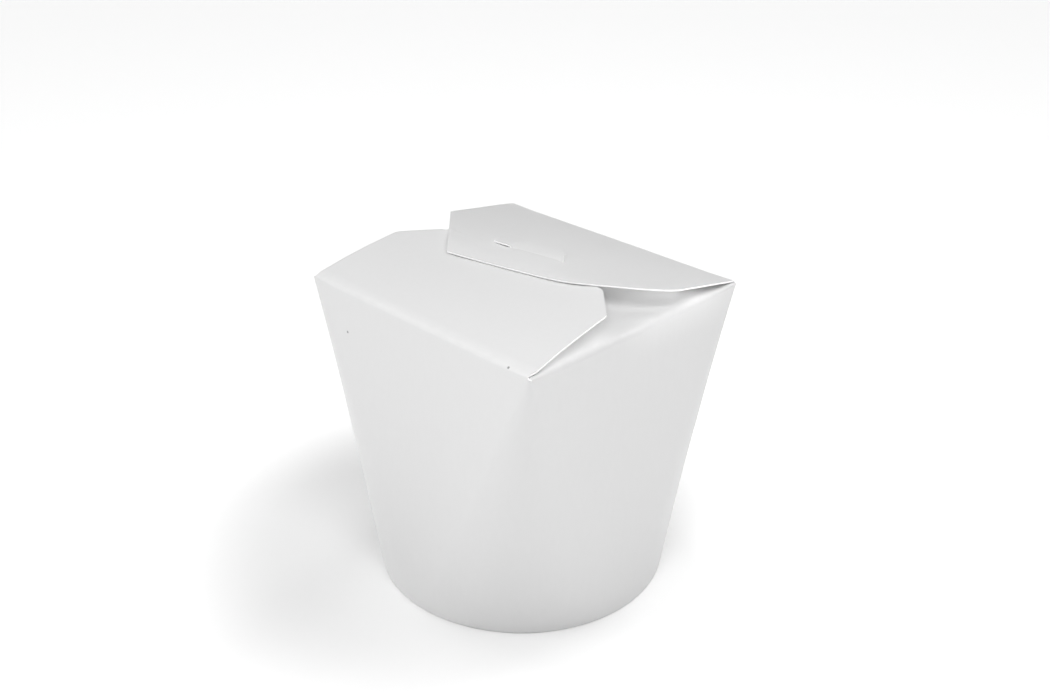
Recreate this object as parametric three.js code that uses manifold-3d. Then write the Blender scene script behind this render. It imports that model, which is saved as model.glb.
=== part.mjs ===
// Noodle takeaway box, shut: a folded paperboard carton that is round at the base and
// four-cornered at the mouth. Millimetres, +Z up, origin at the centre of the base, on the table.
// The front wall (-Y) carries the tongue flap and the back wall (+Y) the slotted flap over it.
// The two dust flaps fold in first, from the sides at -X and +X.

import * as THREE from "three";
import { mergeVertices } from "three/addons/utils/BufferGeometryUtils.js";
import Module from "manifold-3d";

const wasm = await Module();
wasm.setup();

// Driving dimensions of the carton
const MOUTH_LENGTH = 96;        // along X, between the dust flap folds
const MOUTH_WIDTH = 88;         // along Y, between the big flap folds
const WALL_HEIGHT = 100;        // table to the lines where the walls and the big flaps would meet
const BASE_DIAMETER = 95;
const BOARD = 0.45;             // thickness of the paperboard
const FOLD_RADIUS = 2;          // the board turns over the top folds in a soft round
const CREASE_RADIUS = 0.8;      // of a wall corner where it meets the top folds
const WAIST = 0.011;            // share by which the walls pull in at half height
const RACK = 0.4;               // how far the shut flaps pull the mouth out of square

// The base: the wall stands below the base disc and is hemmed double there
const HEM_THICKNESS = 1.3;
const BASE_RECESS = 5;          // table to the underside of the base disc
const DISC_GAP = 0.3;

// The body ends part of the way round the folds, and the flaps go on from there
const WALL_TANGENT = 98.3;      // where the walls start to turn over
const BODY_FOLD_ANGLE = 45;     // degrees of the turn that belong to the body
const FLAP_FOLD_ANGLE = 35;     // where the flaps begin, so that they overlap the body
const FOLD_REACH = 0.85;        // how far in a flap leaves its fold, in fold radii
const BODY_TOP_MIDDLE = 97;     // the closed top under the flaps is a shallow dish

// The dust flaps, folded in first, from folds that lie a little lower and sag between the corners
const DUST_FOLD_DROP = 0.6;
const DUST_FOLD_SAG = 0.7;
const DROP_STARTS = 0.85;       // share of the wall's height above which it gives way to the drop
const DUST_FLAP_LENGTH = 36;
const DUST_ROOT_HALF = 42.8;
const DUST_END_HALF = 27;
const DUST_TILT = 4.5;          // they spring up almost to the undersides of the big flaps
const DUST_UNDERSIDE = 96;      // sunk in the closed top

// Each big flap as [x, distance from its fold]: the left and right shoulders and the left and
// right corners of the free edge. The right side bows out towards a point between them, and the
// free edge is rounded off by so many mm at its right end. Angles are in degrees: the tilt at
// the fold, its change per mm across the flap (twist), its rise towards both sides (cup, per mm
// squared), its fall per mm of length (curl) and how that changes towards the sides (curlCup).
const TONGUE_FLAP = {
  rootHalf: 47.5,
  shoulders: [[-45.2, 32.9], [45.2, 32.9]],
  bow: [39.55, 38.25],
  corners: [[-33.9, 43.6], [33.9, 43.6]],
  rounding: 0,
  tilt: 11.12, twist: 0.0122, cup: 0.00066, curl: 0.126, curlCup: 0,
};
const SLOT_FLAP = {
  rootHalf: 46.8,
  shoulders: [[-47, 30.7], [46.8, 26.5]],
  bow: [45, 35.9],
  corners: [[-21, 56.1], [32.2, 45]],
  rounding: 3,
  tilt: 17.49, twist: 0.016, cup: -0.00297, curl: 0.383, curlCup: -0.000154,
};
const ROUNDING_FROM = 12;       // x from which the slot flap's free edge is rounded off

// The tongue, on the slot flap. Points are [x, distance from that flap's fold].
const SLIT_DISTANCE = 40.8;     // at x = 0
const SLIT_SLANT = -0.118;      // mm per mm of x
const NECK_LEFT = -6.9;
const NECK_RIGHT = 12;
const NECK_START = 46.7;        // just under the front flap's free edge
const NECK_OVERLAP = 1;
const EAR_LEFT = -15.4;
const EAR_ROUND = 2;            // of the ear's outer corner
const TONGUE_END = [-4, 27.3];
const RIGHT_CURVE = [[9.3, 34.8], [4, 28.4]];
const LEFT_CURVE = [[-12.5, 27.3], [-16.6, 35.4]];
const EAR_LIFT = 0.7;           // air under the free ear, at the left
const TONGUE_LIFT = 0.2;        // air under the tongue's right side
const NECK_SINK = 0.35;         // the neck under the strip in front of the slit
const NECK_REACH = 3;           // mm on either side of the slit in which the neck rises

// Smoothness
const ARC_STEPS = 12;           // round each wall corner
const SIDE_STEPS = 6;           // along each flat wall
const WALL_RINGS = 9;
const FOLD_RINGS = 3;           // of the body, over the folds
const FOLD_ROWS = 4;            // of a flap, over its fold
const FLAP_STEPS = 24;          // across a flap
const FLAP_ROW = 4.5;           // mm, along a flap
const NECK_STEPS = 10;
const HEAD_STEPS = 8;           // on each curve of the tongue's outline
const ROUND_STEPS = 64;
const SAME_POINT = 1e-4;        // mm, vertices closer than this are one

const HALF_LENGTH = MOUTH_LENGTH / 2;
const HALF_WIDTH = MOUTH_WIDTH / 2;
const BASE_RADIUS = BASE_DIAMETER / 2;
const RECESS_RADIUS = BASE_RADIUS - HEM_THICKNESS;
const RECESS_TOP = BASE_RECESS + BOARD + DISC_GAP;
const { lerp, degToRad, smoothstep } = THREE.MathUtils;

const paperboard = (name) => new THREE.MeshStandardMaterial({
  name, color: 0xf2f2f2, roughness: 0.55, metalness: 0,
});

// Moves every vertex of a geometry to the place that a function gives for it.
function reshape(geometry, place) {
  const position = geometry.attributes.position;
  const point = new THREE.Vector3();
  for (let i = 0; i < position.count; i += 1) {
    point.fromBufferAttribute(position, i);
    position.setXYZ(i, ...place(point.x, point.y, point.z));
  }
  return geometry;
}

// A closed solid from a geometry, facing outwards.
function solid(geometry) {
  const bare = geometry.clone();
  bare.deleteAttribute("normal");
  bare.deleteAttribute("uv");
  const merged = mergeVertices(bare, SAME_POINT);
  const triVerts = new Uint32Array(merged.index.array);
  const vertProperties = new Float32Array(merged.attributes.position.array);
  return new wasm.Manifold(new wasm.Mesh({ numProp: 3, vertProperties, triVerts }));
}

function meshOf(name, shape) {
  const { vertProperties, triVerts } = shape.getMesh();
  const geometry = new THREE.BufferGeometry();
  geometry.setAttribute("position", new THREE.BufferAttribute(vertProperties, 3));
  geometry.setIndex(new THREE.BufferAttribute(triVerts, 1));
  geometry.computeVertexNormals();
  const mesh = new THREE.Mesh(geometry, paperboard(`${name}_paperboard`));
  mesh.name = name;
  return mesh;
}

// The shut flaps pull two opposite corners of the mouth in and the other two out.
function rack([x, y, z]) {
  const pull = RACK * (x / HALF_LENGTH) * (y / HALF_WIDTH) * Math.min(z / WALL_HEIGHT, 1);
  return [x + pull, y + pull, z];
}

// The profile over a top fold, from the line where the wall and a flap at this tilt would meet:
// [how far in, how far up] at an angle of the turn, on the outer face or below it.
function overFold(tilt, angle, depth = 0) {
  const radius = FOLD_RADIUS - depth;
  const centreHeight = FOLD_RADIUS * (Math.tan(tilt) - 1 / Math.cos(tilt));
  return [FOLD_RADIUS - radius * Math.cos(angle), centreHeight + radius * Math.sin(angle)];
}

// ---- Body: four flat walls that turn into cones towards the round base ----

const QUARTER = ARC_STEPS + SIDE_STEPS;
const RING = 4 * QUARTER;
const RINGS = WALL_RINGS + FOLD_RINGS;
const CORNER_SIGNS = [[1, 1], [-1, 1], [-1, -1], [1, -1]];

// A point on the rounded corner of the wall, at a share of its height and of its quarter turn.
function cornerPoint(quarter, turn, height, inset) {
  const radius = lerp(BASE_RADIUS, CREASE_RADIUS, height);
  const halfX = lerp(BASE_RADIUS, HALF_LENGTH, height) - radius;
  const halfY = lerp(BASE_RADIUS, HALF_WIDTH, height) - radius;
  const [signX, signY] = CORNER_SIGNS[quarter % 4];
  const angle = degToRad(90 * (quarter + turn));
  const reach = radius - inset;
  return [signX * halfX + reach * Math.cos(angle), signY * halfY + reach * Math.sin(angle)];
}

function wallPoint(step, height, inset) {
  const quarter = Math.floor(step / QUARTER);
  const place = step % QUARTER;
  const waist = 1 - WAIST * 4 * height * (1 - height);
  const start = cornerPoint(quarter, Math.min(place / ARC_STEPS, 1), height, inset);
  const along = Math.max(place - ARC_STEPS, 0) / SIDE_STEPS;
  const end = cornerPoint(quarter + 1, 0, height, inset);
  return [lerp(start[0], end[0], along) * waist, lerp(start[1], end[1], along) * waist];
}

function dustFoldDrop(y) {
  return DUST_FOLD_DROP + DUST_FOLD_SAG * (1 - (y / HALF_WIDTH) ** 2);
}

// How much a step of the ring belongs to the sides with the dust flaps, from 0 to 1.
function dustShare(step) {
  const quarter = Math.floor(step / QUARTER);
  const turn = Math.min((step % QUARTER) / ARC_STEPS, 1);
  return Math.cos(degToRad(90 * (quarter + turn))) ** 2;
}

function makeBody() {
  const tube = new THREE.CylinderGeometry(1, 1, 1, RING, RINGS);
  tube.rotateX(Math.PI / 2);
  return solid(reshape(tube, (x, y, z) => {
    const ring = Math.round((z + 0.5) * RINGS);
    if (Math.hypot(x, y) < 0.5) {
      return [0, 0, ring > 0 ? BODY_TOP_MIDDLE : 0];
    }
    const step = Math.round((Math.atan2(y, x) / (2 * Math.PI) + 1) * RING) % RING;
    const onWall = Math.min(ring / WALL_RINGS, 1);
    const turn = Math.max(ring - WALL_RINGS, 0) / FOLD_RINGS;
    const [inset, rise] = overFold(0, degToRad(BODY_FOLD_ANGLE * turn));
    const level = WALL_TANGENT * onWall + (turn > 0 ? rise + FOLD_RADIUS : 0);
    const [px, py] = wallPoint(step, Math.min(level / WALL_HEIGHT, 1), inset);
    const drop = dustShare(step) * dustFoldDrop(py) * smoothstep(onWall, DROP_STARTS, 1);
    return rack([px, py, level - drop]);
  }));
}

// The hollow under the base disc, inside the hem.
function makeRecess() {
  const round = new THREE.CylinderGeometry(RECESS_RADIUS, RECESS_RADIUS, 2 * RECESS_TOP, ROUND_STEPS);
  round.rotateX(Math.PI / 2);
  return solid(round);
}

// ---- Dust flaps: folded in from the sides, fused to the closed top ----

function makeDustFlap(side) {
  const rows = FOLD_ROWS + Math.round(DUST_FLAP_LENGTH / FLAP_ROW);
  const tilt = degToRad(DUST_TILT);
  const foldEnd = Math.PI / 2 - tilt;
  const foldStart = degToRad(FLAP_FOLD_ANGLE);
  const [foldInset] = overFold(tilt, foldEnd);
  const block = new THREE.BoxGeometry(1, 2, 1, rows, FLAP_STEPS / 2, 1);
  if (side > 0) {
    block.rotateZ(Math.PI);
  }
  return solid(reshape(block, (x, y, z) => {
    const row = Math.round((side * -x + 0.5) * rows);
    const onFold = Math.min(row / FOLD_ROWS, 1);
    const along = Math.max(row - FOLD_ROWS, 0) / (rows - FOLD_ROWS);
    const [inset, rise] = overFold(tilt, lerp(foldStart, foldEnd, onFold));
    const length = (DUST_FLAP_LENGTH - foldInset) * along;
    const py = y * lerp(DUST_ROOT_HALF, DUST_END_HALF, along);
    const px = side * (HALF_LENGTH - inset - length * Math.cos(tilt));
    const top = WALL_HEIGHT - dustFoldDrop(py) + rise + length * Math.sin(tilt);
    return rack([px, py, z > 0 ? top : DUST_UNDERSIDE]);
  }));
}

// ---- Big flaps ----

function tiltAt(flap, x) {
  return degToRad(flap.tilt + flap.twist * x + flap.cup * x * x);
}

// The upper face of a big flap past its fold, by x and the distance from the fold line.
// side is -1 for the front flap and 1 for the back one.
function flapPoint(flap, side, x, distance) {
  const curl = degToRad(flap.curl + flap.curlCup * x * x);
  const angle = tiltAt(flap, x) - curl * distance / 2;
  const y = side * (HALF_WIDTH - distance * Math.cos(angle));
  return [x, y, WALL_HEIGHT + distance * Math.sin(angle)];
}

const between = (from, to, share) => [lerp(from[0], to[0], share), lerp(from[1], to[1], share)];

// A spot [x, distance] in the outline of a big flap. row runs from 0 at the fold over 1 at the
// shoulders to 2 at the free edge, and across from 0 at the left side to 1 at the right one.
function outlineSpot(flap, row, across) {
  const [left, right] = flap.shoulders;
  const toEdge = Math.max(row - 1, 0);
  let start = between([-flap.rootHalf, 0], left, row);
  let end = between([flap.rootHalf, 0], right, row);
  if (row > 1) {
    start = between(left, flap.corners[0], toEdge);
    const [inner, outer] = [between(right, flap.bow, toEdge), between(flap.bow, flap.corners[1], toEdge)];
    end = between(inner, outer, toEdge);
  }
  const x = lerp(start[0], end[0], across);
  const pulledIn = flap.rounding * toEdge * toEdge;
  const turned = Math.max((x - ROUNDING_FROM) / (end[0] - ROUNDING_FROM), 0) ** 3;
  return [x, lerp(start[1], end[1] + pulledIn, across) - pulledIn * turned];
}

// Rows from the end of the fold to the free edge.
function flapRows(flap) {
  const toShoulder = flap.shoulders[0][1];
  const toEdge = flap.corners[0][1] - toShoulder;
  const first = FOLD_RADIUS * FOLD_REACH / toShoulder;
  const steps = Math.round(toShoulder / FLAP_ROW);
  const edgeSteps = Math.round(toEdge / FLAP_ROW);
  const rows = [];
  for (let step = 0; step <= steps; step += 1) {
    rows.push(lerp(first, 1, step / steps));
  }
  for (let step = 1; step <= edgeSteps; step += 1) {
    rows.push(1 + step / edgeSteps);
  }
  return rows;
}

function makeFlap(flap, side) {
  const rows = flapRows(flap);
  const lastRow = FOLD_ROWS + rows.length - 1;
  const foldStart = degToRad(FLAP_FOLD_ANGLE);
  const block = new THREE.BoxGeometry(2, 1, 1, FLAP_STEPS, lastRow, 1);
  if (side > 0) {
    block.rotateZ(Math.PI);
  }
  return solid(reshape(block, (x, y, z) => {
    const row = Math.round((0.5 - side * y) * lastRow);
    if (row < FOLD_ROWS) {
      const px = x * flap.rootHalf;
      const tilt = tiltAt(flap, px);
      const angle = lerp(foldStart, Math.PI / 2 - tilt, row / FOLD_ROWS);
      const [inset, rise] = overFold(tilt, angle, z > 0 ? 0 : BOARD);
      return rack([px, side * (HALF_WIDTH - inset), WALL_HEIGHT + rise]);
    }
    const [spotX, distance] = outlineSpot(flap, rows[row - FOLD_ROWS], (x + 1) / 2);
    const [px, py, top] = flapPoint(flap, side, spotX, distance);
    return rack([px, py, z > 0 ? top : top - BOARD]);
  }));
}

// ---- Tongue: runs on from the front flap, comes up through the slit and lies on the back flap ----

function slitAt(x) {
  return SLIT_DISTANCE + SLIT_SLANT * x;
}

// The tongue's upper face, lying on the slot flap with a little air under it.
function tongueTop(x, distance) {
  const [, y, flapTop] = flapPoint(SLOT_FLAP, 1, x, distance);
  const across = (x - EAR_LEFT) / (NECK_RIGHT - EAR_LEFT);
  return [y, flapTop + BOARD + lerp(EAR_LIFT, TONGUE_LIFT, across)];
}

// The neck leaves the front flap's free edge, runs on under the strip in front of the slit
// and rises through the slit to the level of the tongue.
function makeNeck() {
  const block = new THREE.BoxGeometry(1, 1, 1, NECK_STEPS, NECK_STEPS, 1);
  return solid(reshape(block, (x, y, z) => {
    const px = lerp(NECK_LEFT, NECK_RIGHT, x + 0.5);
    const slit = slitAt(px);
    const distance = lerp(NECK_START, slit - NECK_REACH - NECK_OVERLAP, y + 0.5);
    const [py, onFlap] = tongueTop(px, distance);
    const strip = flapPoint(SLOT_FLAP, 1, px, distance)[2];
    const leaving = flapPoint(TONGUE_FLAP, -1, px, HALF_WIDTH + py)[2];
    const leaves = smoothstep(distance, slit + NECK_REACH, NECK_START);
    const under = lerp(strip - NECK_SINK, leaving, leaves);
    const rise = smoothstep(slit - distance, -NECK_REACH / 2, NECK_REACH);
    const top = lerp(under, onFlap, rise);
    return rack([px, py, z > 0 ? top : top - BOARD]);
  }));
}

// The head lies on the slot flap. Its left ear hooks over the end of the slit.
function makeTongueHead() {
  const outline = new THREE.Shape();
  const rounded = EAR_LEFT + EAR_ROUND;
  outline.moveTo(NECK_RIGHT, slitAt(NECK_RIGHT));
  outline.bezierCurveTo(...RIGHT_CURVE[0], ...RIGHT_CURVE[1], ...TONGUE_END);
  outline.bezierCurveTo(...LEFT_CURVE[0], ...LEFT_CURVE[1], EAR_LEFT, slitAt(EAR_LEFT) - EAR_ROUND);
  outline.quadraticCurveTo(EAR_LEFT, slitAt(EAR_LEFT), rounded, slitAt(rounded));
  outline.closePath();
  const plate = new THREE.ExtrudeGeometry(outline, {
    depth: 1, bevelEnabled: false, curveSegments: HEAD_STEPS,
  });
  return solid(reshape(plate, (x, distance, z) => {
    const [py, top] = tongueTop(x, distance);
    return rack([x, py, z > 0.5 ? top - BOARD : top]);
  }));
}

// ---- The carton, in one piece ----

function makeCarton() {
  let carton = makeBody().subtract(makeRecess());
  const pieces = [
    makeDustFlap(1),
    makeDustFlap(-1),
    makeFlap(TONGUE_FLAP, -1),
    makeFlap(SLOT_FLAP, 1),
    makeNeck(),
    makeTongueHead(),
  ];
  for (const piece of pieces) {
    carton = carton.add(piece);
  }
  return meshOf("carton", carton);
}

// ---- Base disc, glued in above the hem ----

function makeBaseDisc() {
  const radius = RECESS_RADIUS - DISC_GAP;
  const disc = new THREE.CylinderGeometry(radius, radius, BOARD, ROUND_STEPS);
  disc.rotateX(Math.PI / 2);
  const mesh = meshOf("base_disc", solid(disc));
  mesh.position.z = BASE_RECESS + BOARD / 2;
  return mesh;
}

const box = new THREE.Group();
box.name = "noodle_takeaway_box";
box.add(makeCarton());
box.add(makeBaseDisc());

export default box;
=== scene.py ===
# %% [markdown]
# # A shut noodle takeaway box
#
# The real box is folded from one sheet of white paperboard: round at the base, four-cornered at
# the mouth, with two narrow dust flaps folded in first and two wide flaps over them. The front
# wide flap ends in a tongue that comes up through a slit in the back one and hooks over its end.
# Everything below is worked in millimetres, as the board would be drawn, and turned into metres
# only when a point is set.

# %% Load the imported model
import math

import bmesh
import bpy
from mathutils import Matrix, Vector, noise


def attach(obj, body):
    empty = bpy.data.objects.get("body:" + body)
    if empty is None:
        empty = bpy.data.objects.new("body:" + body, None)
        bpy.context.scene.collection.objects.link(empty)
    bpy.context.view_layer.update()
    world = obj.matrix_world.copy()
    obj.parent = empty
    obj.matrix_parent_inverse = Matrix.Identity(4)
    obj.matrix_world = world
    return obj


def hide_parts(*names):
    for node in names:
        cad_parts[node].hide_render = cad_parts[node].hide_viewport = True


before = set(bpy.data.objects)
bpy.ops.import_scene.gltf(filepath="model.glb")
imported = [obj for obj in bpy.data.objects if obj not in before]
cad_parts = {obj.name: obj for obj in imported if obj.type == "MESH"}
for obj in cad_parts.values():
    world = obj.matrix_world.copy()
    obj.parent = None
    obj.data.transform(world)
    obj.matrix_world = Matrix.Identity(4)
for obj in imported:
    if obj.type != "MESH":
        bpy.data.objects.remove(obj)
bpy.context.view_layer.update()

MM = 0.001

# %% [markdown]
# ## The sizes of the board
#
# The mouth is a rectangle, the base a circle, and the board 0.45 mm thick. A flap is described
# by stations (the distance from its fold and its half width there) and by how its corners are
# rounded. The two wide flaps also have a tilt, because no shut flap lies quite flat: twist and
# cup change it along the fold, curl and curl_cup with the distance from it.

# %% Driving sizes, in millimetres and degrees
HALF_LENGTH = 48
HALF_WIDTH = 44
WALL_HEIGHT = 100
BASE_RADIUS = 47.5
BOARD = 0.45

TONGUE_FLAP = {
    "stations": [(0, 47.5), (32.9, 45.2), (43.6, 33.9)], "rounding": [1.0, 1.6],
    "tilt": 11.12, "twist": 0.0122, "cup": 0.00066, "curl": 0.126, "curl_cup": 0,
}
SLOT_FLAP = {
    "stations": [(0, 47.2), (30.74, 46.97), (56.09, 21)], "rounding": [1.0, 0.6],
    "tilt": 17.49, "twist": 0.016, "cup": -0.00297, "curl": 0.383, "curl_cup": -0.000154,
}
DUST_FLAP = {"stations": [(0, 43.4), (36, 27)], "rounding": [4.0]}
DUST_TILT = 4.5
FLAPS = [SLOT_FLAP, DUST_FLAP, TONGUE_FLAP, DUST_FLAP]
BACK, LEFT, FRONT, RIGHT = range(4)

SLIT = 40.8
SLIT_SLANT = -0.118
SLIT_ENDS = (-14.6, 13)
NECK = (-6.9, 12)


def slit_at(along):
    """The slit's distance from the back fold, which changes a little along it."""
    return SLIT + SLIT_SLANT * along


def mix(a, b, share):
    return a + (b - a) * share


def smooth(share):
    share = min(max(share, 0), 1)
    return share * share * (3 - 2 * share)


print("the board is", BOARD, "mm thick; the slit is", slit_at(0), "mm from the back fold")

# %% [markdown]
# ## Columns of the sheet
#
# The sheet is made as a box maker would draw its grain lines: every column of vertices starts on
# the round base, climbs the wall and, where there is a flap, goes on over the fold and along it.
# Four corner arcs alternate with four straight sides.

# %% Where each column stands
ARC_STEPS = 24
SIDE_STEPS = 64
QUARTER = ARC_STEPS + SIDE_STEPS
RING = 4 * QUARTER
ALONG_SIGN = [-1, -1, 1, 1]
CORNER_RADIUS = 0.6
RACK = 0.4


def side_columns(side):
    start = side * QUARTER + ARC_STEPS
    return [(start + step) % RING for step in range(SIDE_STEPS + 1)]


def across(side, column):
    """Where a column stands on its side, from -1 to 1 along +X or +Y."""
    step = (column - side * QUARTER - ARC_STEPS) % RING
    return ALONG_SIGN[side] * (2 * step / SIDE_STEPS - 1)


def half_side(side):
    return (HALF_LENGTH if side in (BACK, FRONT) else HALF_WIDTH) - CORNER_RADIUS


def on_plan(side, along, inset):
    """A plan point from its place along a side and how far in from that side it is."""
    if side in (BACK, FRONT):
        return along, (HALF_WIDTH - inset) * (1 if side == BACK else -1)
    return (HALF_LENGTH - inset) * (1 if side == RIGHT else -1), along


def racked(x, y, z):
    """The shut flaps pull the mouth a little out of square."""
    pull = RACK * (x / HALF_LENGTH) * (y / HALF_WIDTH) * min(max(z, 0) / WALL_HEIGHT, 1)
    return Vector((x + pull, y + pull, z)) * MM


print(RING, "columns,", SIDE_STEPS, "on each side")

# %% [markdown]
# ## Folds
#
# Paperboard doesn't fold to a knife edge: it turns over in a soft round that is tight at the
# corners of the box and wider in between. The folds of the dust flaps sag under the hand that
# pressed them in, and the right one has a kink. Along each fold the height also wavers a little,
# as board does where it was creased.

# %% The line of each fold
DUST_DROP_FRONT = 0.9
DUST_DROP_BACK = 0.45
DUST_SAG = 0.15
FRONT_DROP = 0.35
WAVER_DEPTHS = [0.03, 0.22, 0.08, 0.22]
WAVER_SIZE = 5
WAVER_APART = 40
KINK_PLACE = 1.5
KINK_SIZE = 5
KINK_DEPTH = 1


def tilt_at(side, along):
    flap = FLAPS[side]
    if side in (LEFT, RIGHT):
        return math.radians(DUST_TILT)
    return math.radians(flap["tilt"] + flap["twist"] * along + flap["cup"] * along ** 2)


def fold_drop(side, along):
    """How far the fold lies below the full height of the wall."""
    edge = smooth((half_side(side) - abs(along)) / WAVER_SIZE)
    spot = Vector((along, side * WAVER_APART, 0)) / WAVER_SIZE
    waver = WAVER_DEPTHS[side] * edge * noise.noise(spot)
    if side in (LEFT, RIGHT):
        drop = mix(DUST_DROP_FRONT, DUST_DROP_BACK, along / HALF_WIDTH / 2 + 0.5)
        drop += DUST_SAG * (1 - (along / HALF_WIDTH) ** 2)
        if side == RIGHT:
            kink = (along - KINK_PLACE) / KINK_SIZE
            drop -= KINK_DEPTH * kink * math.exp(-kink * kink)
        return drop + waver
    return waver + (FRONT_DROP if side == FRONT else 0)


print("the right fold lies", [round(fold_drop(RIGHT, along), 2) for along in (-40, 0, 40)],
      "mm below the full height at its front, middle and back")

# %% [markdown]
# ## How round a fold is
#
# The round could be left to a bevel at the end, but its radius changes along the fold. So the
# rows over a fold are set out one by one, on an arc that tightens towards the corners.

# %% The roundness of each fold
FOLD_RADII = [2.0, 2.0, 1.6, 2.0]
SHARP_RADIUS = 0.6
SHARP_REACH = 13


def fold_radius(side, along):
    edge = half_side(side) + CORNER_RADIUS - abs(along)
    return mix(SHARP_RADIUS, FOLD_RADII[side], smooth(edge / SHARP_REACH))


def fold_point(side, along, share):
    """(inset, height) over the fold: share 0 is the top of the wall, 1 the start of the flap."""
    tilt = tilt_at(side, along)
    radius = fold_radius(side, along)
    angle = (math.pi / 2 - tilt) * share
    start = WALL_HEIGHT - fold_drop(side, along) + radius * (math.tan(tilt) - 1 / math.cos(tilt))
    return radius * (1 - math.cos(angle)), start + radius * math.sin(angle)


def side_top(side, column):
    """The top of the wall at a column that stands on a side."""
    return fold_point(side, across(side, column) * half_side(side), 0)[1]


def wall_top(column):
    side, place = divmod(column, QUARTER)
    if place >= ARC_STEPS:
        return side_top(side, column)
    corner = side * QUARTER
    return mix(side_top((side - 1) % 4, corner), side_top(side, corner + ARC_STEPS),
               place / ARC_STEPS)


print("top of the walls, mm:", round(min(map(wall_top, range(RING))), 2),
      "to", round(max(map(wall_top, range(RING))), 2))

# %% [markdown]
# ## Walls
#
# Each column of the wall is a straight line from the base circle to the mouth, pulled in by half
# a millimetre at half height. That gives four flat triangles and four corner cones, which is how
# a real round-based carton takes its shape. A faint unevenness keeps the light alive on it.

# %% A point on the wall
CORNER_SIGNS = [(1, 1), (-1, 1), (-1, -1), (1, -1)]
SIDE_SECTOR = 4
WAIST = 0.011
WAVE_SIZE = 22
WAVE_DEPTH = 0.07


def mouth_plan(column):
    side, place = divmod(column, QUARTER)
    if place >= ARC_STEPS:
        return on_plan(side, across(side, column) * half_side(side), 0)
    sign_x, sign_y = CORNER_SIGNS[side]
    angle = math.radians(90 * (side + place / ARC_STEPS))
    return (sign_x * (HALF_LENGTH - CORNER_RADIUS) + CORNER_RADIUS * math.cos(angle),
            sign_y * (HALF_WIDTH - CORNER_RADIUS) + CORNER_RADIUS * math.sin(angle))


def base_plan(column):
    """The arcs take nearly all of the base circle, the straight sides four narrow sectors."""
    side, place = divmod(column, QUARTER)
    if place < ARC_STEPS:
        angle = 90 * side + mix(SIDE_SECTOR, 90 - SIDE_SECTOR, place / ARC_STEPS)
    else:
        share = (place - ARC_STEPS) / SIDE_STEPS
        angle = 90 * (side + 1) + mix(-SIDE_SECTOR, SIDE_SECTOR, share)
    return BASE_RADIUS * math.cos(math.radians(angle)), BASE_RADIUS * math.sin(math.radians(angle))


def wall_point(column, z):
    height = z / WALL_HEIGHT
    (base_x, base_y), (mouth_x, mouth_y) = base_plan(column), mouth_plan(column)
    x, y = mix(base_x, mouth_x, height), mix(base_y, mouth_y, height)
    middle = 4 * height * (1 - height)
    wave = WAVE_DEPTH * middle * noise.noise(Vector((x, y, z)) / WAVE_SIZE)
    share = 1 - WAIST * middle + wave / BASE_RADIUS
    return racked(x * share, y * share, z)


print("wall at half height:",
      [round(v / MM, 1) for v in wall_point(ARC_STEPS // 2, WALL_HEIGHT / 2)])

# %% [markdown]
# ## Flaps
#
# A flap is a sheet in (place along the fold, distance from the fold). The two wide ones follow
# their tilt, twist and curl, and the dust flaps lie almost level. The way back is needed too:
# how far along a flap a spot lies that is seen from above.

# %% A flap without its slit
DUST_LEVEL = 0.7
FOLD_FADE = 14
SEARCH_STEPS = 5


def plain_flap(side, along, distance):
    """(inset, height) of a flap's upper face, without what the slit does to it."""
    flap = FLAPS[side]
    drop = fold_drop(side, along)
    if side in (LEFT, RIGHT):
        drop = mix(drop, DUST_LEVEL, smooth(distance / FOLD_FADE))
        angle = math.radians(DUST_TILT)
    else:
        drop *= 1 - smooth(distance / FOLD_FADE)
        curl = flap["curl"] + flap["curl_cup"] * along ** 2
        angle = tilt_at(side, along) - math.radians(curl) * distance / 2
    return distance * math.cos(angle), WALL_HEIGHT - drop + distance * math.sin(angle)


def distance_at(side, along, inset):
    """The distance along a flap to the spot on it that lies this far in from its wall."""
    distance = inset
    for _ in range(SEARCH_STEPS):
        distance += inset - plain_flap(side, along, distance)[0]
    return distance


print("30 mm in from the wall is", round(distance_at(BACK, 0, 30), 1), "mm along the slot flap")

# %% [markdown]
# ## The slot flap over the tongue
#
# A cloth simulation could press the two wide flaps together, but board as stiff as this only
# gives by tenths of a millimetre. So the slot flap is moved by rule: up in front of its slit,
# where the tongue's neck passes under, down behind it, and at its free end down to just above
# the tongue flap.

# %% What the slit and the tongue flap do to the slot flap
STRIP_LIFT = 0.3
STRIP_REACH = 9
REAR_DIP = 0.5
REAR_REACH = 7
SLIT_FADE = 3
EDGE_SLANT = -0.151
REST_FROM = 45
REST_LENGTH = 7.5
REST_RIGHT = 37
REST_FADE = 8
REST_AIR = 0.3
LEAST_AIR = 0.05
OVERHANG = 1


def slit_step(along, distance):
    """How far the slot flap is pushed up in front of its slit, or down behind it."""
    left, right = SLIT_ENDS
    ahead = distance - slit_at(along)
    if ahead > 0:
        left = NECK[0]
    window = smooth((along - left) / SLIT_FADE) * smooth((right - along) / SLIT_FADE)
    if ahead > 0:
        return STRIP_LIFT * window * (1 - smooth(ahead / STRIP_REACH))
    return -REAR_DIP * window * (1 - smooth(-ahead / REAR_REACH))


def resting(along, distance, y, height):
    """Lets the slot flap's end down to just above the tongue flap, and never into it."""
    level = distance - EDGE_SLANT * along
    free = smooth((level - REST_FROM) / REST_LENGTH) * smooth((REST_RIGHT - along) / REST_FADE)
    on_front = distance_at(FRONT, along, HALF_WIDTH + y)
    below = plain_flap(FRONT, along, on_front)[1] + BOARD
    height = mix(height, min(height, below + REST_AIR), free)
    if on_front < TONGUE_FLAP["stations"][-1][0] + OVERHANG:
        height = max(height, below + LEAST_AIR)
    return height


print("in front of the slit the slot flap rises by", round(slit_step(0, slit_at(0) + 0.1), 2),
      "mm, and behind it dips by", round(-slit_step(0, slit_at(0) - 0.1), 2))

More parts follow.
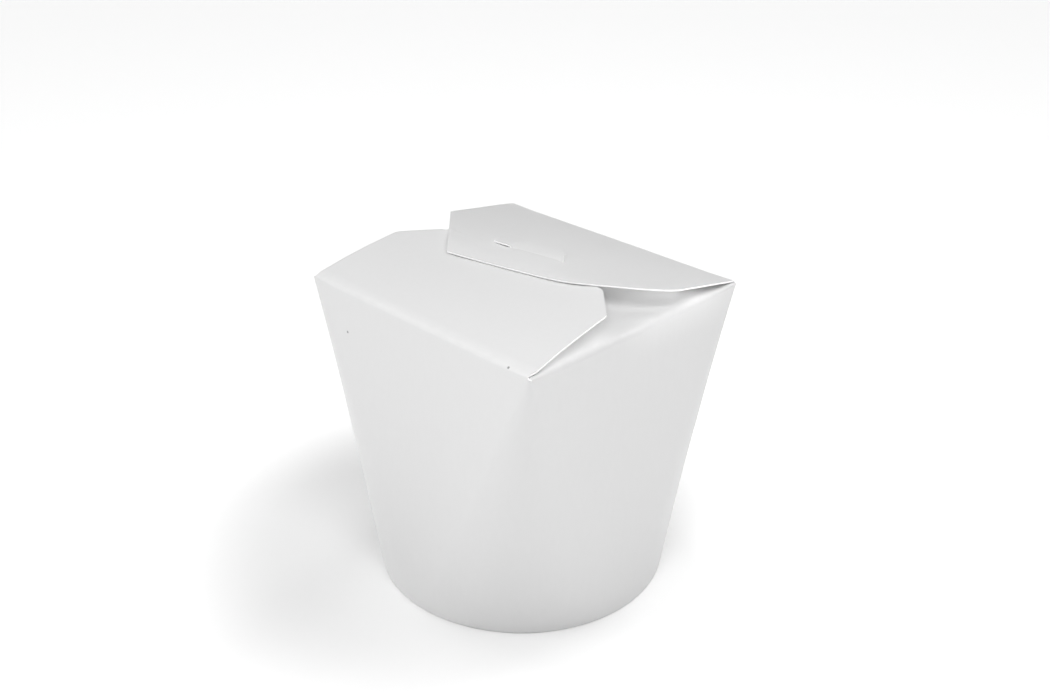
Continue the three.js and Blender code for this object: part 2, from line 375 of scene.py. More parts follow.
# %% [markdown]
# ## A dent, a ridge and buckles
#
# The hand that pressed the right dust flap in has left a dent and a low ridge, and all four
# flaps are faintly buckled. Both could be bump in the material, but on smooth white board a
# slow bend is seen mostly by how it takes the light, so they are real shape.

# %% The upper face of each flap
BUCKLE_SIZE = 16
BUCKLE_DEPTH = 0.12
BUCKLE_APART = 50
DENT_PLACE = Vector((41, -4.7))
DENT_RADIUS = 3.5
DENT_DEPTH = 0.35
RIDGE_FROM = Vector((30, 6))
RIDGE_TO = Vector((48, 14))
RIDGE_HEIGHT = 0.3
RIDGE_WIDTH = 3
RIDGE_LEAD = 0.2


def dust_relief(x, y):
    """The dent in the right dust flap, and the low ridge beside it."""
    spot = Vector((x, y))
    dent = -DENT_DEPTH * math.exp(-((spot - DENT_PLACE).length / DENT_RADIUS) ** 2)
    line = RIDGE_TO - RIDGE_FROM
    share = min(max((spot - RIDGE_FROM).dot(line) / line.length_squared, 0), 1)
    gap = (spot - RIDGE_FROM - line * share).length
    swell = math.sin(math.pi * min(share + RIDGE_LEAD, 1))
    return dent + RIDGE_HEIGHT * math.exp(-gap / RIDGE_WIDTH) * swell


def flap_point(side, along, distance):
    inset, height = plain_flap(side, along, distance)
    x, y = on_plan(side, along, inset)
    spot = Vector((x, y, side * BUCKLE_APART)) / BUCKLE_SIZE
    height += BUCKLE_DEPTH * smooth(distance / FOLD_FADE) * noise.noise(spot)
    if side == BACK:
        height = resting(along, distance, y, height + slit_step(along, distance))
    if side == RIGHT:
        height += dust_relief(x, y)
    return racked(x, y, height)


print("the front flap's free edge is at",
      [round(v / MM, 1) for v in flap_point(FRONT, 0, TONGUE_FLAP["stations"][-1][0])])

# %% [markdown]
# ## Rows of a flap
#
# A flap's sides run straight between its stations and turn small rounded corners, as a cutting
# die leaves them. Rows crowd together where the side turns, so the round is really cut.

# %% Distances and half widths, row by row
ROW_STEP = 1.5
ROUND_ROWS = 4
FIRST_ROW = 2.4


def stepped(point, target, length):
    return point + (target - point).normalized() * length


def flap_rows(stations, rounding, extra=()):
    """(distance, half width) of each row, with extra rows at the distances that are asked for."""
    corners = [Vector(station) for station in stations]
    corners.append(Vector((stations[-1][0], 0)))
    start, rows = corners[0], []
    for corner, beyond, cut in zip(corners[1:], corners[2:], rounding):
        enter, leave = stepped(corner, start, cut), stepped(corner, beyond, cut)
        steps = max(round((enter - start).length / ROW_STEP), 1)
        rows += [start.lerp(enter, step / steps) for step in range(1, steps)]
        for step in range(ROUND_ROWS + 1):
            share = step / ROUND_ROWS
            rows.append(enter.lerp(corner, share).lerp(corner.lerp(leave, share), share))
        start = leave
    rows = [row for row in rows if row.x > FIRST_ROW]
    for distance in extra:
        near = max((row for row in rows if row.x < distance), key=lambda row: row.x)
        after = min((row for row in rows if row.x > distance), key=lambda row: row.x)
        share = (distance - near.x) / (after.x - near.x)
        rows.append(Vector((distance, mix(near.y, after.y, share))))
    return sorted(rows, key=lambda row: row.x)


def even_row(row):
    """A row of a flap whose two sides are alike, as (left end, right end, pull)."""
    return Vector((-row.y, row.x)), Vector((row.y, row.x)), 0


print("the tongue flap has", len(flap_rows(TONGUE_FLAP["stations"], TONGUE_FLAP["rounding"])),
      "rows")

# %% [markdown]
# ## The slot flap's own outline
#
# The slot flap is lopsided. Its left side is cut like the tongue flap's, but its right side bows
# out and turns into the free edge in a long round, and its rows follow the slant of the slit.

# %% Rows that bow on the right
SLIT_WIDTH = 0.08
SLIT_SHARES = (0.549, 0.5)
SLOT_SHOULDER = (46.8, 26.5)
SLOT_BOW = (45, 35.9)
SLOT_CORNER = (32.2, 45)
CORNER_PULL = 3.04
PULL_FROM = 12


def bend(points, share):
    """A point on the curve drawn by its control points."""
    spots = [Vector(point) for point in points]
    while len(spots) > 1:
        spots = [a.lerp(b, share) for a, b in zip(spots, spots[1:])]
    return spots[0]


def slot_row(row):
    """A row of the slot flap: its right side bows out and its corner there is well rounded."""
    (_, root_half), (shoulder, _), (corner, _) = SLOT_FLAP["stations"]
    left = Vector((-row.y, row.x))
    if row.x <= shoulder:
        return left, Vector((root_half, 0)).lerp(Vector(SLOT_SHOULDER), row.x / shoulder), 0
    share = (row.x - shoulder) / (corner - shoulder)
    before, after = SLIT_SHARES
    if share <= before:
        turn, late = share * after / before, 0
    else:
        late = (share - before) / (1 - before)
        turn = mix(after, 1, late)
    return left, bend([SLOT_SHOULDER, SLOT_BOW, SLOT_CORNER], turn), CORNER_PULL * late ** 2


def row_spot(row, share):
    """(along, distance) on a row, from its left end (share 0) to its right end (1)."""
    left, right, pull = row
    along = mix(left.x, right.x, share)
    turned = max((along - PULL_FROM) / (right.x - PULL_FROM), 0) ** 3
    return along, mix(left.y, right.y + pull, share) - pull * turned


slit_left = mix(SLOT_FLAP["stations"][1][0], SLOT_FLAP["stations"][2][0], SLIT_SHARES[0])
slit_edges = (slit_left - SLIT_WIDTH / 2, slit_left + SLIT_WIDTH / 2)
dust_rows = [even_row(row) for row in flap_rows(DUST_FLAP["stations"], DUST_FLAP["rounding"])]
ROWS = [
    [slot_row(row) for row in flap_rows(SLOT_FLAP["stations"], SLOT_FLAP["rounding"], slit_edges)],
    dust_rows,
    [even_row(row) for row in flap_rows(TONGUE_FLAP["stations"], TONGUE_FLAP["rounding"])],
    dust_rows,
]
print("rows on each flap:", [len(rows) for rows in ROWS])

# %% [markdown]
# ## Growing the sheet
#
# A ring is added and pulled up row by row with the extrude tool, which is how one would draw a
# carton by hand. Each vertex keeps the number of its column and its row, so that the next pull
# can be made from exactly the right edge.

# %% Tools for the sheet
def start_ring(name, count, radius, z):
    """Adds a ring whose vertices know their column, and goes into edit mode."""
    bpy.ops.object.select_all(action="DESELECT")
    bpy.ops.mesh.primitive_circle_add(vertices=count, radius=radius * MM, location=(0, 0, z * MM))
    bpy.ops.object.transform_apply(location=True)
    ring = bpy.context.object
    ring.name = name
    column = ring.data.attributes.new("column", "INT", "POINT")
    ring.data.attributes.new("row", "INT", "POINT")
    for vertex in ring.data.vertices:
        angle = math.atan2(vertex.co.y, vertex.co.x)
        column.data[vertex.index].value = round(angle / (2 * math.pi) * count) % count
    bpy.ops.object.mode_set(mode="EDIT")
    bpy.ops.mesh.select_mode(type="VERT")
    print(name, "starts as a ring of", count)
    return ring


def place_row(row, place):
    """Moves the selected vertices where place says, by their column, and numbers their row."""
    mesh = bpy.context.object.data
    sheet = bmesh.from_edit_mesh(mesh)
    columns, rows = sheet.verts.layers.int["column"], sheet.verts.layers.int["row"]
    for vertex in sheet.verts:
        if vertex.select:
            vertex.co = place(vertex[columns])
            vertex[rows] = row
    bmesh.update_edit_mesh(mesh)


def pull_row(row, place):
    bpy.ops.mesh.extrude_region_move()
    place_row(row, place)


def pick(row, chosen):
    """Selects the vertices of a row whose columns are chosen."""
    bpy.ops.mesh.select_all(action="DESELECT")
    mesh = bpy.context.object.data
    sheet = bmesh.from_edit_mesh(mesh)
    columns, rows = sheet.verts.layers.int["column"], sheet.verts.layers.int["row"]
    for vertex in sheet.verts:
        if vertex[rows] == row and vertex[columns] in chosen:
            vertex.select_set(True)
    sheet.select_flush_mode()
    bmesh.update_edit_mesh(mesh)


print("sheet tools are ready: ring, place, pull and pick")

# %% [markdown]
# ## Pulling up the walls
#
# The first ring is set level with the middle of the rolled hem, just above the floor. Forty
# pulls bring it up to the folds, close enough together for the wall's unevenness to show.

# %% Pull up the walls
WALL_RINGS = 40
HEM_THICKNESS = 1.3
HEM_RADIUS = HEM_THICKNESS / 2

carton = start_ring("carton_board", RING, BASE_RADIUS, HEM_RADIUS)
bpy.ops.mesh.select_all(action="SELECT")
place_row(0, lambda column: wall_point(column, HEM_RADIUS))
for ring in range(1, WALL_RINGS + 1):
    pull_row(ring, lambda column: wall_point(
        column, mix(HEM_RADIUS, wall_top(column), ring / WALL_RINGS)))
print("the walls are pulled up in", WALL_RINGS, "rings")

# %% [markdown]
# ## The hem
#
# The wall reaches a little below the base and is rolled inwards there, double, to stiffen the
# box. The lowest ring is pulled round a half turn and then up the inside.

# %% Roll the hem
HEM_TOP = 7.5
HEM_TURN_ROWS = 8
HEM_INNER_ROWS = 3
HEM_NUMBER = 500


def hem_point(column, radius, z):
    """A point of the base circle, drawn in to this radius, at this height."""
    x, y = base_plan(column)
    share = radius / BASE_RADIUS
    return Vector((x * share, y * share, z)) * MM


pick(0, set(range(RING)))
for step in range(1, HEM_TURN_ROWS + 1):
    turn = math.pi * step / HEM_TURN_ROWS
    pull_row(HEM_NUMBER + step, lambda column: hem_point(
        column, BASE_RADIUS - HEM_RADIUS + HEM_RADIUS * math.cos(turn),
        HEM_RADIUS * (1 - math.sin(turn))))
for step in range(1, HEM_INNER_ROWS + 1):
    height = mix(HEM_RADIUS, HEM_TOP, step / HEM_INNER_ROWS)
    pull_row(HEM_NUMBER + HEM_TURN_ROWS + step, lambda column: hem_point(
        column, BASE_RADIUS - HEM_THICKNESS, height))
print("the hem is", HEM_THICKNESS, "mm thick and ends", HEM_TOP, "mm up the inside")

# %% [markdown]
# ## Folding the flaps out of the walls
#
# Each flap grows from its own side of the mouth. At both ends of a wide flap's fold the die cuts
# a small round notch, so that the neighbouring folds don't fight each other at the corner.

# %% Fold and pull each flap
FOLD_ROWS = 8
FLAP_NUMBER = 1000
NOTCH_DEPTHS = [0.3, 0, 0.9, 0]
NOTCH_LENGTH = 3


def notched(side, half, path):
    """A row's half width, less the notch, at a path length from the top of the wall."""
    share = min(max(path / NOTCH_LENGTH, 0), 1)
    return half - NOTCH_DEPTHS[side] * math.sin(math.pi * share)


def fold_flap(side):
    root = FLAPS[side]["stations"][0][1]
    first = FLAP_NUMBER * (side + 1)
    pick(WALL_RINGS, set(side_columns(side)))
    for step in range(1, FOLD_ROWS + 1):
        share = step / FOLD_ROWS
        half = notched(side, mix(half_side(side), root, share), share * SHARP_RADIUS * math.pi / 2)

        def place(column):
            along = across(side, column) * half
            inset, height = fold_point(side, along, share)
            return racked(*on_plan(side, along, inset), height)

        pull_row(first + step, place)
    for number, row in enumerate(ROWS[side], 1):
        def place(column):
            along, distance = row_spot(row, (across(side, column) + 1) / 2)
            return flap_point(side, along * notched(side, root, distance) / root, distance)

        pull_row(first + FOLD_ROWS + number, place)
    return first + FOLD_ROWS + len(ROWS[side])


free_edges = [fold_flap(side) for side in range(4)]
print("free edges are rows", free_edges)

# %% [markdown]
# ## The slit
#
# The slit is cut by taking out the narrow strip of faces between two close rows of the slot
# flap. On a real box the end of the tongue, the ear, holds the left part of the slit open, so
# the front side of the cut is moved forward a little there.

# %% Cut the slit
slit_row = next(number for number, (left, _, _) in enumerate(ROWS[BACK], 1)
                if abs(left.y - slit_left) < SLIT_WIDTH) + FLAP_NUMBER * (BACK + 1) + FOLD_ROWS
sheet = bmesh.from_edit_mesh(carton.data)
row_layer = sheet.verts.layers.int["row"]
bpy.ops.mesh.select_all(action="DESELECT")
bpy.ops.mesh.select_mode(type="FACE")
for face in sheet.faces:
    rows = {vertex[row_layer] for vertex in face.verts}
    along = face.calc_center_median().x / MM
    if rows == {slit_row, slit_row + 1} and SLIT_ENDS[0] < along < SLIT_ENDS[1]:
        face.select_set(True)
bmesh.update_edit_mesh(carton.data)
bpy.ops.mesh.delete(type="ONLY_FACE")
bpy.ops.mesh.select_mode(type="VERT")
print("slit cut between rows", slit_row, "and", slit_row + 1)

# %% Spread the slit where the ear holds it open
EAR_GAP = 0.22
EAR_SPAN = (-14.8, -5.5)

pick(slit_row + 1, set(side_columns(BACK)))
sheet = bmesh.from_edit_mesh(carton.data)
for vertex in sheet.verts:
    share = (vertex.co.x / MM - EAR_SPAN[0]) / (EAR_SPAN[1] - EAR_SPAN[0])
    if vertex.select and 0 < share < 1:
        vertex.co.y -= EAR_GAP * MM * math.sin(math.pi * share) ** 0.5
bmesh.update_edit_mesh(carton.data)
print("slit spread by", EAR_GAP, "mm at the ear")

# %% [markdown]
# ## The tongue
#
# The tongue grows on the middle of the front flap's free edge. Its neck slips under the strip in
# front of the slit, comes up through the slit, and its head lies on the slot flap. The head's
# right side follows one curve, and its left side ends in the ear, which stands up a little.

# %% The shape of the tongue
TONGUE_AIR = 0.08
TONGUE_LIFT = 0.4
LIFT_REACH = 3
EAR_LIFT = 0.12
EAR_REACH = 9
EAR_SHEAR = 2
EAR_CORNER = [(-13.4, 42.4), (-15.3, 42.6), (-15.4, 40.4)]
EAR_CORNER_SHARE = 0.15
HEAD_LEFT = [(-15.4, 40.4), (-16.6, 35.4), (-12.5, 27.3), (-4, 27.3)]
HEAD_SPLIT = [(-6.9, 41.6), (-4, 27.3)]
HEAD_RIGHT = [(12, 39.4), (9.3, 34.8), (4, 28.4), (-4, 27.3)]


def head_left(share):
    """The outline of the ear: a small rounded corner, then the long curve of the head."""
    if share < EAR_CORNER_SHARE:
        return bend(EAR_CORNER, share / EAR_CORNER_SHARE)
    return bend(HEAD_LEFT, (share - EAR_CORNER_SHARE) / (1 - EAR_CORNER_SHARE))


def tongue_point(along, distance, head=True):
    """The tongue's upper face: the head lies on the slot flap, the neck passes under it."""
    inset, height = plain_flap(BACK, along, distance)
    ahead = distance - slit_at(along)
    if ahead > 0 and not head:
        dive = (BOARD + TONGUE_AIR) * smooth(ahead / STRIP_REACH)
        return *on_plan(BACK, along, inset), height - dive
    ahead = min(ahead, 0)
    rise = (BOARD + TONGUE_AIR) * smooth(-ahead / REAR_REACH)
    near = 1 - smooth(-ahead / EAR_REACH)
    right = smooth((along - NECK[0]) / (NECK[1] - NECK[0]))
    free = smooth((NECK[0] - along) / EAR_SHEAR)
    lift = mix(TONGUE_LIFT * right * smooth(-ahead / LIFT_REACH),
               BOARD + EAR_LIFT * near - rise, free)
    return *on_plan(BACK, along, inset), height + rise + lift


print("the head ends", HEAD_SPLIT[-1][1], "mm from the back fold,",
      round(tongue_point(*HEAD_SPLIT[-1])[2], 1), "mm up")

# %% [markdown]
# ## Through the slit
#
# The neck leaves the tongue flap's edge, narrows and goes down under the strip until it stands
# in the slit. Each row is kept a hair below the strip, so that the two layers never cross. From
# the slit on, the head is pulled back towards the fold, on top of the slot flap.

# %% Pull the neck under the strip
TONGUE_NUMBER = 6000
NECK_ROWS = 12
NECK_MARGIN = 0.5
NECK_AIR = 0.04
NARROWING = 2
SINKING = 1.6

front_half, front_reach = ROWS[FRONT][-1][1]
neck_columns = [
    column for column in side_columns(FRONT)
    if NECK[0] - NECK_MARGIN < across(FRONT, column) * front_half < NECK[1] + NECK_MARGIN]


def neck_share(column):
    return neck_columns.index(column) / (len(neck_columns) - 1)


pick(free_edges[FRONT], set(neck_columns))
for step in range(1, NECK_ROWS + 1):
    share = step / NECK_ROWS

    def place(column):
        start_x = across(FRONT, column) * front_half
        start_inset = plain_flap(FRONT, start_x, front_reach)[0]
        start = distance_at(BACK, start_x, 2 * HALF_WIDTH - start_inset)
        along = mix(start_x, mix(*NECK, neck_share(column)), smooth(share * NARROWING))
        distance = mix(start, slit_at(along), share)
        x, y, height = tongue_point(along, distance, head=False)
        strip = flap_point(BACK, along, distance + SLIT_WIDTH).z / MM
        leaving = plain_flap(FRONT, along, front_reach + y + HALF_WIDTH - start_inset)[1]
        height = mix(leaving, height, smooth(share * SINKING))
        return racked(x, y, min(height, strip - BOARD - NECK_AIR))

    pull_row(TONGUE_NUMBER + step, place)
print("the neck has", len(neck_columns), "columns and", NECK_ROWS, "rows")

# %% Pull the head over the slot flap
HEAD_ROWS = 20
head_start = TONGUE_NUMBER + NECK_ROWS

for step in range(1, HEAD_ROWS + 1):
    share = step / HEAD_ROWS

    def place(column):
        spot = bend(HEAD_SPLIT, share).lerp(bend(HEAD_RIGHT, share), neck_share(column))
        return racked(*tongue_point(spot.x, spot.y))

    pull_row(head_start + step, place)
print("tongue ends on row", head_start + HEAD_ROWS)

# %% [markdown]
# ## The ear
#
# The ear is the hook that keeps the box shut. It reaches past the end of the slit, so it can't
# grow from the neck's own columns. It is pulled sideways out of the head's left edge instead.

# %% Pull the ear out of the left side of the head
EAR_COLUMNS = 10

bpy.ops.mesh.select_all(action="DESELECT")
sheet = bmesh.from_edit_mesh(carton.data)
column_layer = sheet.verts.layers.int["column"]
row_layer = sheet.verts.layers.int["row"]
for vertex in sheet.verts:
    if vertex[column_layer] == neck_columns[0] and vertex[row_layer] >= head_start:
        vertex.select_set(True)
sheet.select_flush_mode()
bmesh.update_edit_mesh(carton.data)
for step in range(1, EAR_COLUMNS + 1):
    bpy.ops.mesh.extrude_region_move()
    sheet = bmesh.from_edit_mesh(carton.data)
    row_layer = sheet.verts.layers.int["row"]
    for vertex in sheet.verts:
        if vertex.select:
            share = (vertex[row_layer] - head_start) / HEAD_ROWS
            spot = bend(HEAD_SPLIT, share).lerp(head_left(share), step / EAR_COLUMNS)
            vertex.co = racked(*tongue_point(spot.x, spot.y))
    bmesh.update_edit_mesh(carton.data)
print("ear pulled out in", EAR_COLUMNS, "steps")

# %% [markdown]
# ## Outwards, and where it is creased
#
# So far the sheet is the outer face alone, grown from many pulls. Its doubles are merged and its
# faces turned outwards before it gets a thickness. The vertices on the folds are marked too,
# because the material paints a pale highlight along the folds and reads that mark.

# %% Face outwards and mark the folds
MERGE_GAP = 0.004
CREASE_START = 3
CREASE_END = 2

bpy.ops.mesh.select_all(action="SELECT")
bpy.ops.mesh.remove_doubles(threshold=MERGE_GAP * MM)
bpy.ops.mesh.normals_make_consistent(inside=False)
sheet = bmesh.from_edit_mesh(carton.data)
half_height = WALL_HEIGHT / 2 * MM
wall_face = min(sheet.faces, key=lambda face: abs(face.calc_center_median().z - half_height))
if wall_face.normal.dot(wall_face.calc_center_median()) < 0:
    bpy.ops.mesh.flip_normals()
bpy.ops.object.mode_set(mode="OBJECT")
crease = carton.data.attributes.new("crease", "FLOAT", "POINT")
for spot, row in zip(crease.data, carton.data.attributes["row"].data):
    step = row.value % FLAP_NUMBER
    if FLAP_NUMBER < row.value < TONGUE_NUMBER and step <= FOLD_ROWS + 1:
        spot.value = (smooth((step - 1) / CREASE_START)
                      * smooth((FOLD_ROWS + 2 - step) / CREASE_END))
print("crease marked on", sum(spot.value > 0 for spot in crease.data), "vertices")

# %% [markdown]
# ## Nodes for the two finishes
#
# The board has two finishes, its coated face and its raw cut edge, and both are built from the
# same few nodes: noise at a given number of ripples to the metre, bumps laid one over the other,
# a range, and one grey laid over another. All of it reads the object's own coordinates, so that
# nothing slides when the box is moved.

# %% Tools for patterns
def new_material(name):
    material = bpy.data.materials.new(name)
    material.use_nodes = True
    return material, material.node_tree.nodes, material.node_tree.links


def grey(level):
    return level, level, level, 1


def noise_node(nodes, links, source, scale, detail=2, stretch=(1, 1, 1)):
    mapping = nodes.new("ShaderNodeMapping")
    mapping.inputs["Scale"].default_value = stretch
    texture = nodes.new("ShaderNodeTexNoise")
    texture.inputs["Scale"].default_value = scale
    texture.inputs["Detail"].default_value = detail
    links.new(source, mapping.inputs["Vector"])
    links.new(mapping.outputs["Vector"], texture.inputs["Vector"])
    return texture.outputs["Fac"]


def bump_node(nodes, links, height, depth, strength, under=None):
    bump = nodes.new("ShaderNodeBump")
    bump.inputs["Distance"].default_value = depth * MM
    bump.inputs["Strength"].default_value = strength
    links.new(height, bump.inputs["Height"])
    if under:
        links.new(under, bump.inputs["Normal"])
    return bump.outputs["Normal"]


def range_node(nodes, links, value, low, high, start=0, end=1):
    """Gives low where value is at start, high where it is at end."""
    ranged = nodes.new("ShaderNodeMapRange")
    ranged.inputs["From Min"].default_value = start
    ranged.inputs["From Max"].default_value = end
    ranged.inputs["To Min"].default_value = low
    ranged.inputs["To Max"].default_value = high
    links.new(value, ranged.inputs["Value"])
    return ranged.outputs["Result"]


print("pattern tools are ready: noise, bump and range")


# %% Tools that mix
def blend_node(nodes, links, value, under, over):
    """Lays a grey over another grey, or over what a socket gives, as strongly as value says."""
    blend = nodes.new("ShaderNodeMix")
    blend.data_type = "RGBA"
    if isinstance(under, float):
        blend.inputs["A"].default_value = grey(under)
    else:
        links.new(under, blend.inputs["A"])
    blend.inputs["B"].default_value = grey(over)
    links.new(value, blend.inputs["Factor"])
    return blend.outputs["Result"]


def product_node(nodes, links, first, second):
    product = nodes.new("ShaderNodeMath")
    product.operation = "MULTIPLY"
    links.new(first, product.inputs[0])
    links.new(second, product.inputs[1])
    return product.outputs["Value"]


def distance_node(nodes, links, place, centre):
    away = nodes.new("ShaderNodeVectorMath")
    away.operation = "DISTANCE"
    links.new(place, away.inputs[0])
    away.inputs[1].default_value = centre
    return away.outputs["Value"]


print("mixing tools are ready: blend, product and distance")

# %% [markdown]
# ## Coated paperboard
# The board is coated white: its colour hardly changes, but its gloss does. A slow unevenness,
# an orange-peel ripple of about a millimetre and a fine fibre grain go into the bump, and the
# fibres also mottle the colour by about one per cent either way. The folds are painted paler in
# patches, a painted highlight where they turn to the light, and there are three small grey specks,
# as most real sheets have.

# %% The coated face
CLOUD = {"scale": 35, "depth": 0.4, "strength": 0.15}
PEEL = {"scale": 800, "detail": 1, "depth": 0.02, "strength": 0.6}
GRAIN = {"scale": 5000, "detail": 3, "depth": 0.006, "strength": 0.6}
FIBRE = {"scale": 700, "detail": 4, "stretch": (1, 1, 0.25)}
BOARD_GREYS = (0.82, 0.84)
BOARD_GLOSS = (0.42, 0.52)
COAT_WEIGHT = 0.08
COAT_ROUGHNESS = 0.35
# The pale grey of the painted highlight along the folds, and the size and range of its patches.
FOLD_HIGHLIGHT_GREY = 0.89
FOLD_HIGHLIGHT_SCALE = 300
FOLD_HIGHLIGHT_RANGE = (0.2, 1.3)
SPECK_GREY = 0.3
SPECK_RADIUS = 0.5
SPECKS = [(38.9, -43.9, 99.6), (-31, -44.1, 86), (45.9, -33, 68.3)]


def coated_board():
    material, nodes, links = new_material("coated white paperboard")
    shader = nodes["Principled BSDF"]
    place = nodes.new("ShaderNodeTexCoord").outputs["Object"]
    fibre = noise_node(nodes, links, place, **FIBRE)
    board = blend_node(nodes, links, fibre, *BOARD_GREYS)
    # Painted highlight: the folds, marked by the crease attribute, are made paler in patches.
    crease = nodes.new("ShaderNodeAttribute")
    crease.attribute_name = "crease"
    fold_highlight_patches = range_node(nodes, links, noise_node(nodes, links, place, FOLD_HIGHLIGHT_SCALE), *FOLD_HIGHLIGHT_RANGE)
    fold_highlight = product_node(nodes, links, crease.outputs["Fac"], fold_highlight_patches)
    board = blend_node(nodes, links, fold_highlight, board, FOLD_HIGHLIGHT_GREY)
    for centre in SPECKS:
        away = distance_node(nodes, links, place, Vector(centre) * MM)
        speck = range_node(nodes, links, away, 1, 0, SPECK_RADIUS * MM / 2, SPECK_RADIUS * MM)
        board = blend_node(nodes, links, speck, board, SPECK_GREY)
    links.new(board, shader.inputs["Base Color"])
    cloud = noise_node(nodes, links, place, CLOUD["scale"])
    links.new(range_node(nodes, links, cloud, *BOARD_GLOSS), shader.inputs["Roughness"])
    normal = bump_node(nodes, links, cloud, CLOUD["depth"], CLOUD["strength"])
    for relief in (PEEL, GRAIN):
        height = noise_node(nodes, links, place, relief["scale"], relief["detail"])
        normal = bump_node(nodes, links, height, relief["depth"], relief["strength"], normal)
    links.new(normal, shader.inputs["Normal"])
    shader.inputs["Coat Weight"].default_value = COAT_WEIGHT
    shader.inputs["Coat Roughness"].default_value = COAT_ROUGHNESS
    return material


COATED = coated_board()
print(COATED.name, "has", len(COATED.node_tree.nodes), "nodes")

# %% [markdown]
# ## The cut edge
#
# A cut goes through the coating and shows the board's core: matt, brighter than the face and
# roughened by torn fibres. A little painted glow brightens the edge further, standing in for the
# light that such a thin white edge passes on from inside the board.

# %% The raw edge
EDGE_FIBRE = {"scale": 2500, "detail": 4}
EDGE_GREYS = (0.97, 1)
EDGE_GLOSS = (0.75, 0.95)
EDGE_DEPTH = 0.04
EDGE_STRENGTH = 0.5
EDGE_PAINTED_GLOW = 0.22


def raw_edge():
    material, nodes, links = new_material("raw cut edge of the board")
    shader = nodes["Principled BSDF"]
    place = nodes.new("ShaderNodeTexCoord").outputs["Object"]
    fibre = noise_node(nodes, links, place, **EDGE_FIBRE)
    links.new(blend_node(nodes, links, fibre, *EDGE_GREYS), shader.inputs["Base Color"])
    links.new(range_node(nodes, links, fibre, *EDGE_GLOSS), shader.inputs["Roughness"])
    links.new(bump_node(nodes, links, fibre, EDGE_DEPTH, EDGE_STRENGTH), shader.inputs["Normal"])
    # Painted glow: the cut edge lights itself a little, so that it stays bright.
    shader.inputs["Emission Color"].default_value = grey(1)
    shader.inputs["Emission Strength"].default_value = EDGE_PAINTED_GLOW
    return material


RAW = raw_edge()
print(RAW.name, "has", len(RAW.node_tree.nodes), "nodes")

# %% [markdown]
# ## Giving the sheet its thickness
#
# Solidify adds the other face 0.45 mm below the outer one and closes the cut edges in the raw
# material. A hair-thin bevel then catches light along every cut, as it does on the real box.

# %% Thicken and bevel
CUT_BEVEL = 0.08
BEVEL_STEPS = 2
BEVEL_ANGLE = 50
SMOOTH_ANGLE = 40


def thicken(piece, thickness):
    """Makes a sheet into board: coated on both faces, raw on its cut edges."""
    piece.data.materials.append(COATED)
    piece.data.materials.append(RAW)
    solidify = piece.modifiers.new("board", "SOLIDIFY")
    solidify.thickness = thickness * MM
    solidify.offset = -1
    solidify.material_offset_rim = 1
    bevel = piece.modifiers.new("cut edges", "BEVEL")
    bevel.width = CUT_BEVEL * MM
    bevel.segments = BEVEL_STEPS
    bevel.limit_method = "ANGLE"
    bevel.angle_limit = math.radians(BEVEL_ANGLE)
    bpy.context.view_layer.objects.active = piece
    bpy.ops.object.modifier_apply(modifier=solidify.name)
    bpy.ops.object.modifier_apply(modifier=bevel.name)
    bpy.ops.object.shade_smooth_by_angle(angle=math.radians(SMOOTH_ANGLE))
    print(piece.name, "has", len(piece.data.polygons), "faces")


thicken(carton, BOARD)
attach(carton, "root")
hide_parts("carton")

# %% [markdown]
# ## The glued seam
#
# The sheet is closed into a ring by one glued overlap, which runs down the wall that is turned
# away. The upper layer is added as a strip that follows the wall. It stands off it by most of
# the board's thickness at its cut edge and sinks into it at the other, where the layer simply
# goes on as the wall.

# %% Lay the overlap on the wall
SEAM_TURN = 146
SEAM_WIDTH = 15
SEAM_BOTTOM = 1.6
SEAM_TOP = 96.5
SEAM_RISE = 0.36
SEAM_SINK = 0.05
SEAM_COLUMNS = 16
SEAM_ROWS = 60


def bearing(column, z):
    """The turn round the box, in degrees from +X, at which a column stands at a height."""
    spot = wall_point(column, z)
    return math.degrees(math.atan2(spot.y, spot.x)) % 360


def wall_at(turn, z):
    """The wall at a height and a turn round the box, behind and to the left."""
    low, high = QUARTER, 2 * QUARTER + ARC_STEPS
    while high - low > 1:
        between = (low + high) // 2
        low, high = (between, high) if bearing(between, z) < turn else (low, between)
    share = (turn - bearing(low, z)) / (bearing(high, z) - bearing(low, z))
    return wall_point(low, z).lerp(wall_point(high, z), share)


bpy.ops.object.select_all(action="DESELECT")
bpy.ops.mesh.primitive_grid_add(x_subdivisions=SEAM_COLUMNS, y_subdivisions=SEAM_ROWS, size=2)
lap = bpy.context.object
for vertex in lap.data.vertices:
    share = (vertex.co.x + 1) / 2
    height = mix(SEAM_BOTTOM, SEAM_TOP, (vertex.co.y + 1) / 2)
    spot = wall_at(SEAM_TURN + SEAM_WIDTH * share, height)
    outward = Vector((spot.x, spot.y, 0)).normalized() * MM
    vertex.co = spot + outward * mix(SEAM_RISE, -SEAM_SINK, smooth(share))
lap_face = lap.data.polygons[len(lap.data.polygons) // 2]
if lap_face.normal.dot(lap_face.center) < 0:
    lap.data.flip_normals()
thicken(lap, SEAM_RISE)
lap.select_set(True)
carton.select_set(True)
bpy.context.view_layer.objects.active = carton
bpy.ops.object.join()
print("the overlap is", round(math.radians(SEAM_WIDTH) * BASE_RADIUS, 1), "mm wide at the base")

# %% [markdown]
# ## The base
#
# Below, a separate disc is glued in above the hem, with a lip turned down against it and a
# pressed ring that keeps it stiff. It is pulled inwards from its lip, ring by ring.

# %% The profile of the disc
DISC_RADIUS = 46.1
DISC_LIP = 0.8
DISC_LEVEL = 5
LIP_MIDDLE = 2.2
LIP_RADIUS = 1.2
LIP_STEPS = 6
BEAD_RADIUS = 39
BEAD_WIDTH = 1.4
BEAD_HEIGHT = 0.5
BEAD_STEPS = 8
INNER_RADII = (32, 24, 16, 8, 2)


